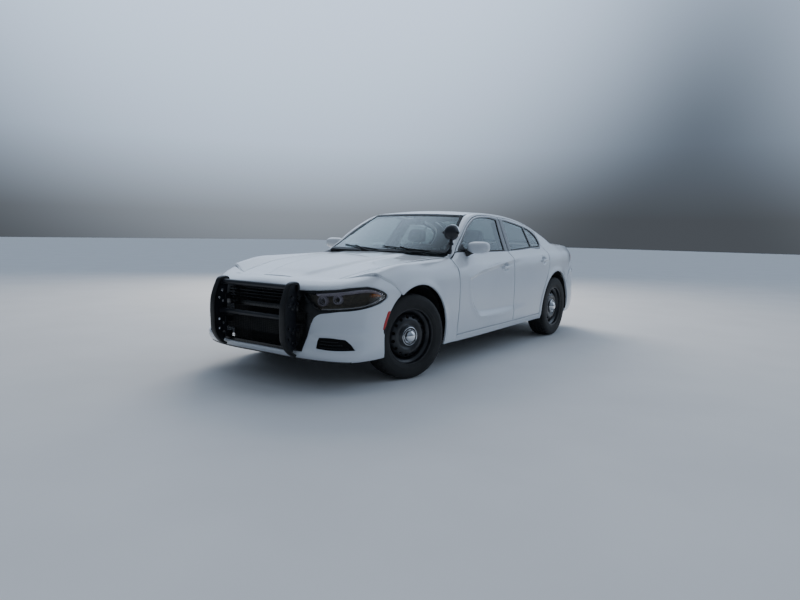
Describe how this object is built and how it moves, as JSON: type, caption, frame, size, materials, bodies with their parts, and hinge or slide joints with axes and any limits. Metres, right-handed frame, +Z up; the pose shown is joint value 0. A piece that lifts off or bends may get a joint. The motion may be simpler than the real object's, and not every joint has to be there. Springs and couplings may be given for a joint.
{
  "type": "police patrol car",
  "caption": "Full-size patrol sedan with push bumper, pillar spotlight and steel wheels; its doors, hood, trunk lid, steering and wheels move.",
  "frame": {"origin": "on the floor under the middle of the car's bounding box", "axes": "+Z up, the front faces -Y, +X is the car's left side"},
  "size_m": [2.072, 5.175, 1.4819],
  "materials": {
    "body_paint": "gloss white",
    "structure": "satin black",
    "push_bar": "textured black powder coat",
    "steel_wheel": "satin black",
    "tyre": "matt",
    "glass": "tinted",
    "black_plastic": "grained",
    "lamp_front": "smoked",
    "lamp_rear": "red",
    "seat_fabric": "woven",
    "trim_plastic": "soft touch",
    "cast_metal": "as cast",
    "alloy": "as cast",
    "steel_pipe": "stained"
  },
  "bodies": {
    "root": {"floor_pan": "structure", "firewall": "structure", "body_side_left": "body_paint", "body_side_right": "body_paint", "roof_panel": "body_paint", "front_fenders": "body_paint", "front_bumper": "body_paint", "grille": "black_plastic", "headlamps": "lamp_front", "rear_bumper": "body_paint", "tail_lamps": "lamp_rear", "windshield": "glass", "rear_window": "glass", "push_bumper": "push_bar", "spotlight": "black_plastic", "dashboard": "trim_plastic", "front_seats": "seat_fabric", "rear_seat": "seat_fabric", "parcel_shelf": "trim_plastic", "engine_block": "alloy", "front_frame": "structure", "rear_suspension": "cast_metal", "exhaust": "steel_pipe", "fuel_tank": "black_plastic", "wheel_liners": "black_plastic"},
    "hood": {"hood": "body_paint"},
    "trunk_lid": {"trunk_lid": "body_paint"},
    "steering_wheel": {"steering_wheel": "trim_plastic"},
    "front_door_left": {"front_door_left": "body_paint", "front_door_glass_left": "glass", "mirror_left": "body_paint"},
    "rear_door_left": {"rear_door_left": "body_paint", "rear_door_glass_left": "glass"},
    "knuckle_left": {"knuckle_left": "cast_metal"},
    "front_door_right": {"front_door_right": "body_paint", "front_door_glass_right": "glass", "mirror_right": "body_paint"},
    "rear_door_right": {"rear_door_right": "body_paint", "rear_door_glass_right": "glass"},
    "knuckle_right": {"knuckle_right": "cast_metal"},
    "wheel_front_left": {"wheel_front_left": "steel_wheel", "tyre_front_left": "tyre"},
    "wheel_front_right": {"wheel_front_right": "steel_wheel", "tyre_front_right": "tyre"},
    "wheel_rear_left": {"wheel_rear_left": "steel_wheel", "tyre_rear_left": "tyre"},
    "wheel_rear_right": {"wheel_rear_right": "steel_wheel", "tyre_rear_right": "tyre"}
  },
  "joints": [
    {"name": "front_door_left_hinge", "type": "hinge", "parent": "root", "child": "front_door_left", "pos_m": [0.937, -0.8315, 0.65], "axis": [0, 0, -1], "range_deg": [0, 65]},
    {"name": "rear_door_left_hinge", "type": "hinge", "parent": "root", "child": "rear_door_left", "pos_m": [0.933, 0.3665, 0.65], "axis": [0, 0, -1], "range_deg": [0, 65]},
    {"name": "front_door_right_hinge", "type": "hinge", "parent": "root", "child": "front_door_right", "pos_m": [-0.937, -0.8315, 0.65], "axis": [0, 0, 1], "range_deg": [0, 65]},
    {"name": "rear_door_right_hinge", "type": "hinge", "parent": "root", "child": "rear_door_right", "pos_m": [-0.933, 0.3665, 0.65], "axis": [0, 0, 1], "range_deg": [0, 65]},
    {"name": "hood_hinge", "type": "hinge", "parent": "root", "child": "hood", "pos_m": [0, -0.8735, 1.012], "axis": [-1, 0, 0], "range_deg": [0, 50]},
    {"name": "trunk_hinge", "type": "hinge", "parent": "root", "child": "trunk_lid", "pos_m": [0, 1.8265, 1.12], "axis": [1, 0, 0], "range_deg": [0, 75]},
    {"name": "steering_left", "type": "hinge", "parent": "root", "child": "knuckle_left", "pos_m": [0.715, -1.5255, 0.36], "axis": [0, 0, 1], "range_deg": [-18, 50]},
    {"name": "steering_right", "type": "hinge", "parent": "root", "child": "knuckle_right", "pos_m": [-0.715, -1.5255, 0.36], "axis": [0, 0, 1], "range_deg": [-18, 50]},
    {"name": "steering_column", "type": "hinge", "parent": "root", "child": "steering_wheel", "pos_m": [0.39, -0.4055, 0.88], "axis": [0, 0.9135, 0.4067], "range_deg": [-243, 675]},
    {"name": "wheel_front_left_spin", "type": "hinge", "parent": "knuckle_left", "child": "wheel_front_left", "pos_m": [0.80151, -1.55031, 0.36], "axis": [0.9613, -0.2756, 0], "continuous": true},
    {"name": "wheel_front_right_spin", "type": "hinge", "parent": "knuckle_right", "child": "wheel_front_right", "pos_m": [-0.80151, -1.50069, 0.36], "axis": [0.9613, -0.2756, 0], "continuous": true},
    {"name": "wheel_rear_left_spin", "type": "hinge", "parent": "root", "child": "wheel_rear_left", "pos_m": [0.81, 1.5265, 0.36], "axis": [1, 0, 0], "continuous": true},
    {"name": "wheel_rear_right_spin", "type": "hinge", "parent": "root", "child": "wheel_rear_right", "pos_m": [-0.81, 1.5265, 0.36], "axis": [1, 0, 0], "continuous": true}
  ],
  "couplings": [
    {"joint": "steering_right", "follows": "steering_left", "ratio": 1},
    {"joint": "steering_column", "follows": "steering_left", "ratio": 13.5}
  ]
}
